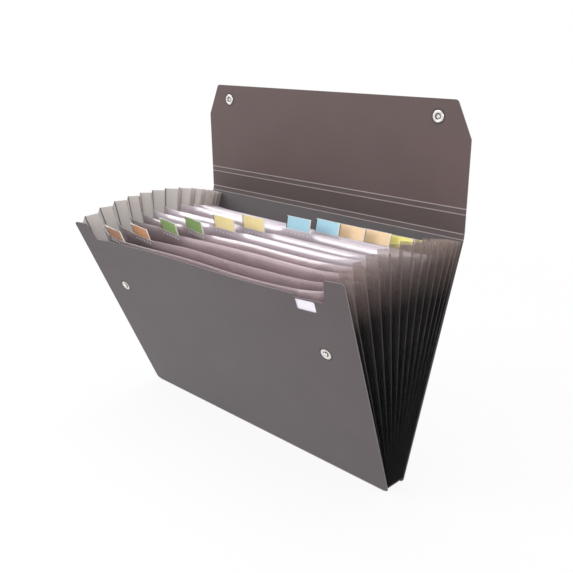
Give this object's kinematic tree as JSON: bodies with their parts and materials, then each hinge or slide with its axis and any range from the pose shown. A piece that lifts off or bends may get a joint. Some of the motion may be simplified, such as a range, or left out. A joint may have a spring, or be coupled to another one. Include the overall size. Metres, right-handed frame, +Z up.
{
  "type": "expanding file folder",
  "caption": "Accordion file folder standing open as a fan, with a scored cover, pleated side gussets, staggered index tabs and a fold-over flap closed by press studs.",
  "frame": {"origin": "middle of the underside of the base panel, on the surface it stands on", "axes": "+X to the right along the width, -Y to the front, +Z up"},
  "size_m": [0.33, 0.1747, 0.3319],
  "materials": {
    "cover": "fine matte grain",
    "film": "smoky translucent film",
    "divider": "translucent, satin",
    "sleeve": "clear",
    "label": "plain white",
    "snap": "polished",
    "tab_tan": "plain",
    "tab_green": "plain",
    "tab_straw": "plain",
    "tab_sky": "plain",
    "tab_peach": "plain",
    "tab_gold": "plain"
  },
  "bodies": {
    "base": {"base_panel": "cover", "left_gusset": "film", "right_gusset": "film"},
    "front": {"front_panel": "cover", "front_label_card": "label", "front_snap_studs": "snap", "front_snap_discs": "snap"},
    "back": {"back_panel": "cover"},
    "lower_strip": {"lower_hinge_strip": "cover"},
    "spine": {"flap_spine": "cover"},
    "upper_strip": {"upper_hinge_strip": "cover"},
    "flap": {"flap": "cover", "flap_snap_sockets": "snap", "flap_snap_caps": "snap"},
    "leaf_01": {"divider_01": "divider", "tab_sleeve_01": "sleeve", "tab_insert_01": "tab_tan"},
    "leaf_02": {"divider_02": "divider", "tab_sleeve_02": "sleeve", "tab_insert_02": "tab_tan"},
    "leaf_03": {"divider_03": "divider", "tab_sleeve_03": "sleeve", "tab_insert_03": "tab_green"},
    "leaf_04": {"divider_04": "divider", "tab_sleeve_04": "sleeve", "tab_insert_04": "tab_green"},
    "leaf_05": {"divider_05": "divider", "tab_sleeve_05": "sleeve", "tab_insert_05": "tab_straw"},
    "leaf_06": {"divider_06": "divider", "tab_sleeve_06": "sleeve", "tab_insert_06": "tab_straw"},
    "leaf_07": {"divider_07": "divider", "tab_sleeve_07": "sleeve", "tab_insert_07": "tab_sky"},
    "leaf_08": {"divider_08": "divider", "tab_sleeve_08": "sleeve", "tab_insert_08": "tab_sky"},
    "leaf_09": {"divider_09": "divider", "tab_sleeve_09": "sleeve", "tab_insert_09": "tab_peach"},
    "leaf_10": {"divider_10": "divider", "tab_sleeve_10": "sleeve", "tab_insert_10": "tab_peach"},
    "leaf_11": {"divider_11": "divider", "tab_sleeve_11": "sleeve", "tab_insert_11": "tab_gold"},
    "leaf_12": {"divider_12": "divider", "tab_sleeve_12": "sleeve", "tab_insert_12": "tab_gold"}
  },
  "joints": [
    {"name": "fan_close", "type": "hinge", "parent": "base", "child": "front", "pos_m": [0, -0.011, 0.0004], "axis": [-1, 0, 0], "range_deg": [0, 23.5], "deforming": ["left_gusset", "right_gusset"]},
    {"name": "back_close", "type": "hinge", "parent": "base", "child": "back", "pos_m": [0, 0.011, 0.0004], "axis": [1, 0, 0], "range_deg": [0, 16.5]},
    {"name": "lower_score", "type": "hinge", "parent": "back", "child": "lower_strip", "pos_m": [0, 0.07422, 0.21383], "axis": [1, 0, 0], "range_deg": [0, 35]},
    {"name": "second_score", "type": "hinge", "parent": "lower_strip", "child": "spine", "pos_m": [0, 0.07479, 0.2188], "axis": [1, 0, 0], "range_deg": [0, 35]},
    {"name": "upper_score", "type": "hinge", "parent": "spine", "child": "upper_strip", "pos_m": [0, 0.07373, 0.2361], "axis": [1, 0, 0], "range_deg": [-45, 45]},
    {"name": "flap_fold", "type": "hinge", "parent": "upper_strip", "child": "flap", "pos_m": [0, 0.07343, 0.24109], "axis": [1, 0, 0], "range_deg": [-45, 45]},
    {"name": "leaf_01_swing", "type": "hinge", "parent": "base", "child": "leaf_01", "pos_m": [0, -0.00931, 0.00125], "axis": [1, 0, 0], "range_deg": [-18.99, 0]},
    {"name": "leaf_02_swing", "type": "hinge", "parent": "base", "child": "leaf_02", "pos_m": [0, -0.00762, 0.00125], "axis": [1, 0, 0], "range_deg": [-14.68, 0]},
    {"name": "leaf_03_swing", "type": "hinge", "parent": "base", "child": "leaf_03", "pos_m": [0, -0.00592, 0.00125], "axis": [1, 0, 0], "range_deg": [-10.53, 0]},
    {"name": "leaf_04_swing", "type": "hinge", "parent": "base", "child": "leaf_04", "pos_m": [0, -0.00423, 0.00125], "axis": [1, 0, 0], "range_deg": [-6.53, 0]},
    {"name": "leaf_05_swing", "type": "hinge", "parent": "base", "child": "leaf_05", "pos_m": [0, -0.00254, 0.00125], "axis": [1, 0, 0], "range_deg": [-2.68, 0]},
    {"name": "leaf_06_swing", "type": "hinge", "parent": "base", "child": "leaf_06", "pos_m": [0, -0.00085, 0.00125], "axis": [1, 0, 0], "range_deg": [0, 0.99084]},
    {"name": "leaf_07_swing", "type": "hinge", "parent": "base", "child": "leaf_07", "pos_m": [0, 0.00085, 0.00125], "axis": [1, 0, 0], "range_deg": [0, 4.45]},
    {"name": "leaf_08_swing", "type": "hinge", "parent": "base", "child": "leaf_08", "pos_m": [0, 0.00254, 0.00125], "axis": [1, 0, 0], "range_deg": [0, 7.64]},
    {"name": "leaf_09_swing", "type": "hinge", "parent": "base", "child": "leaf_09", "pos_m": [0, 0.00423, 0.00125], "axis": [1, 0, 0], "range_deg": [0, 10.49]},
    {"name": "leaf_10_swing", "type": "hinge", "parent": "base", "child": "leaf_10", "pos_m": [0, 0.00592, 0.00125], "axis": [1, 0, 0], "range_deg": [0, 12.92]},
    {"name": "leaf_11_swing", "type": "hinge", "parent": "base", "child": "leaf_11", "pos_m": [0, 0.00762, 0.00125], "axis": [1, 0, 0], "range_deg": [0, 14.81]},
    {"name": "leaf_12_swing", "type": "hinge", "parent": "base", "child": "leaf_12", "pos_m": [0, 0.00931, 0.00125], "axis": [1, 0, 0], "range_deg": [0, 16.05]}
  ],
  "couplings": [
    {"joint": "back_close", "follows": "fan_close", "ratio": 0.70213},
    {"joint": "lower_score", "follows": "fan_close", "ratio": 1.4894},
    {"joint": "second_score", "follows": "fan_close", "ratio": 1.4894},
    {"joint": "upper_score", "follows": "flap_fold", "ratio": 1},
    {"joint": "leaf_01_swing", "follows": "fan_close", "ratio": -0.80828},
    {"joint": "leaf_02_swing", "follows": "fan_close", "ratio": -0.62472},
    {"joint": "leaf_03_swing", "follows": "fan_close", "ratio": -0.44808},
    {"joint": "leaf_04_swing", "follows": "fan_close", "ratio": -0.27781},
    {"joint": "leaf_05_swing", "follows": "fan_close", "ratio": -0.1141},
    {"joint": "leaf_06_swing", "follows": "fan_close", "ratio": 0.042159},
    {"joint": "leaf_07_swing", "follows": "fan_close", "ratio": 0.18936},
    {"joint": "leaf_08_swing", "follows": "fan_close", "ratio": 0.32518},
    {"joint": "leaf_09_swing", "follows": "fan_close", "ratio": 0.44658},
    {"joint": "leaf_10_swing", "follows": "fan_close", "ratio": 0.5498},
    {"joint": "leaf_11_swing", "follows": "fan_close", "ratio": 0.63037},
    {"joint": "leaf_12_swing", "follows": "fan_close", "ratio": 0.68312}
  ]
}
